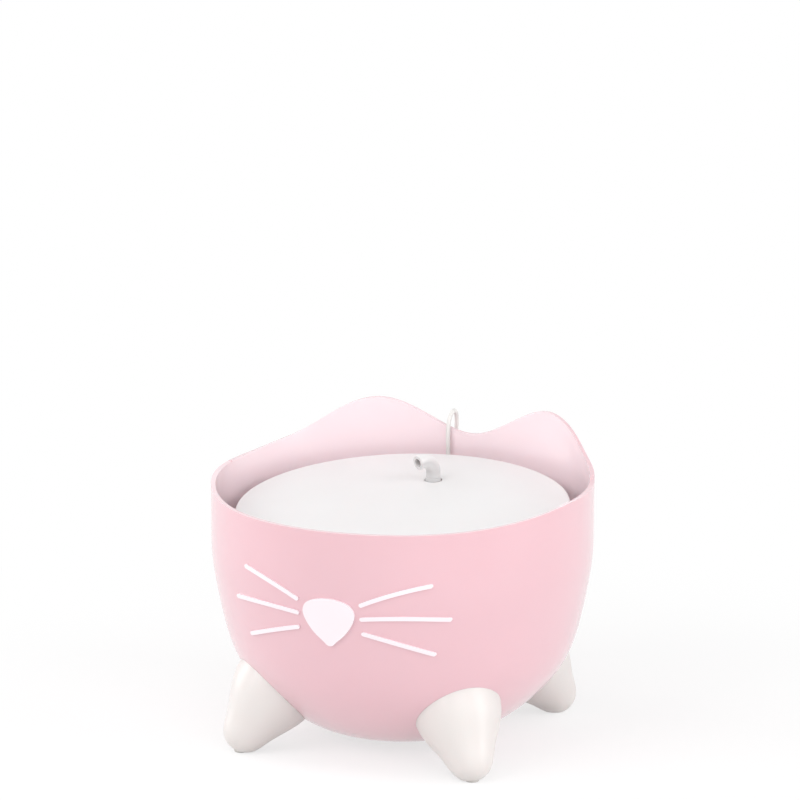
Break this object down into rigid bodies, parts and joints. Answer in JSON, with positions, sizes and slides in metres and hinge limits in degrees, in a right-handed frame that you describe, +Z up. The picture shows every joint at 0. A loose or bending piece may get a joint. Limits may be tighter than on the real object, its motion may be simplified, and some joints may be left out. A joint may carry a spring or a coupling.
{
  "type": "pet water fountain",
  "caption": "Round pet water fountain on splayed feet, with pump, riser tube, tray, filter cartridge, sloping lid and swivel spout that lift out.",
  "frame": {"origin": "on the floor under the bowl's centre", "axes": "+Z up, the face looks along -Y, +X is at the right seen from the front"},
  "size_m": [0.25, 0.3237, 0.1985],
  "materials": {
    "bowl_shell": "semi-gloss pink moulding",
    "nose_gloss": "glossy whitish badge",
    "whisker_gloss": "glossy whitish strips",
    "foot_white": "satin warm white",
    "pad_rubber": "matt rubber",
    "screw_steel": "zinc plated",
    "cord_rubber": "matt white cord sheath",
    "tie": "satin strap",
    "plug_plastic": "satin white",
    "plug_steel": "bright nickel plated",
    "pump_white": "satin white",
    "pump_grey": "satin white grille",
    "stator_steel": "laminated steel",
    "copper_wire": "enamelled copper",
    "circuit_board": "green board",
    "shaft_steel": "ground steel",
    "bush": "dark rubber",
    "lamp_bezel": "gloss ring",
    "lamp_lens": "clear red lens",
    "foot_rubber": "matt silicone rubber",
    "magnet": "sintered ferrite",
    "impeller_plastic": "white",
    "regulator": "grey slider",
    "tube_plastic": "white pipe",
    "tray_white": "warm white, semi-gloss",
    "ring_white": "warm white, semi-gloss",
    "pin_steel": "plain steel",
    "filter_clear": "thin clear film tray",
    "filter_cloth": "white felted cloth",
    "carbon": "loose black grains",
    "resin": "loose amber beads",
    "lid_white": "warm white, semi-gloss",
    "spout_white": "warm white, semi-gloss"
  },
  "bodies": {
    "bowl": {"bowl": "bowl_shell", "nose": "nose_gloss", "whisker_left_upper": "whisker_gloss", "whisker_left_middle": "whisker_gloss", "whisker_left_lower": "whisker_gloss", "whisker_right_upper": "whisker_gloss", "whisker_right_middle": "whisker_gloss", "whisker_right_lower": "whisker_gloss", "foot_front_left": "foot_white", "foot_front_right": "foot_white", "foot_rear_left": "foot_white", "foot_rear_right": "foot_white", "foot_pad_front_left": "pad_rubber", "foot_pad_front_right": "pad_rubber", "foot_pad_rear_left": "pad_rubber", "foot_pad_rear_right": "pad_rubber", "foot_screws": "screw_steel", "power_cord": "cord_rubber", "cord_coil": "cord_rubber", "cord_tie": "tie", "plug_lead": "cord_rubber", "usb_plug_body": "plug_plastic", "usb_plug_shell": "plug_steel"},
    "pump": {"pump_housing": "pump_white", "intake_cover": "pump_grey", "stator_core": "stator_steel", "stator_winding": "copper_wire", "control_board": "circuit_board", "impeller_shaft": "shaft_steel", "shaft_bush_rear": "bush", "shaft_bush_front": "bush", "led_bezel": "lamp_bezel", "led_lens": "lamp_lens", "pump_foot_front": "foot_rubber", "pump_foot_left": "foot_rubber", "pump_foot_rear": "foot_rubber", "pump_foot_right": "foot_rubber", "cord_gland": "cord_rubber"},
    "rotor": {"rotor_magnet": "magnet", "impeller": "impeller_plastic"},
    "regulator": {"flow_regulator": "regulator"},
    "tube": {"riser_tube": "tube_plastic"},
    "tray": {"tray": "tray_white", "outlet_tower": "tray_white", "pull_ring_pin": "pin_steel"},
    "pull_ring": {"pull_ring": "ring_white"},
    "filter": {"filter_shell": "filter_clear", "filter_cloth": "filter_cloth", "carbon_bed_front": "carbon", "carbon_bed_rear": "carbon", "resin_bed_front": "resin", "resin_bed_rear": "resin"},
    "lid": {"lid": "lid_white"},
    "spout": {"spout_collar": "spout_white"},
    "elbow": {"spout_elbow": "spout_white"}
  },
  "joints": [
    {"name": "tray_lift", "type": "slide", "parent": "bowl", "child": "tray", "axis": [0, 0, 1], "range_m": [0, 0.187]},
    {"name": "pump_lift", "type": "slide", "parent": "bowl", "child": "pump", "axis": [0, 0, 1], "range_m": [0, 0.141]},
    {"name": "tube_lift", "type": "slide", "parent": "bowl", "child": "tube", "axis": [0, 0, 1], "range_m": [0, 0.1607]},
    {"name": "lid_lift", "type": "slide", "parent": "tray", "child": "lid", "axis": [0, 0, 1], "range_m": [0, 0.0765]},
    {"name": "filter_lift", "type": "slide", "parent": "tray", "child": "filter", "axis": [0, 0, 1], "range_m": [0, 0.055]},
    {"name": "pull_ring_turn", "type": "hinge", "parent": "tray", "child": "pull_ring", "pos_m": [0.0395, 0.036, 0.1413], "axis": [1, 0, 0], "range_deg": [0, 90]},
    {"name": "spout_lift", "type": "slide", "parent": "lid", "child": "spout", "axis": [0, 0, 1], "range_m": [0, 0.029]},
    {"name": "elbow_swivel", "type": "hinge", "parent": "spout", "child": "elbow", "pos_m": [0, 0.054, 0.16], "axis": [0, 0, 1], "continuous": true},
    {"name": "impeller_spin", "type": "hinge", "parent": "pump", "child": "rotor", "pos_m": [-0.00813, 0.04587, 0.041], "axis": [0.7071, 0.7071, 0], "continuous": true},
    {"name": "regulator_slide", "type": "slide", "parent": "pump", "child": "regulator", "axis": [0.7071, -0.7071, 0], "range_m": [0, 0.008]}
  ],
  "couplings": [
    {"joint": "pump_lift", "follows": "tray_lift", "ratio": 0.754},
    {"joint": "tube_lift", "follows": "tray_lift", "ratio": 0.8593},
    {"joint": "filter_lift", "follows": "lid_lift", "ratio": 0.719},
    {"joint": "pull_ring_turn", "follows": "lid_lift", "rad_per_m": 20.53}
  ]
}
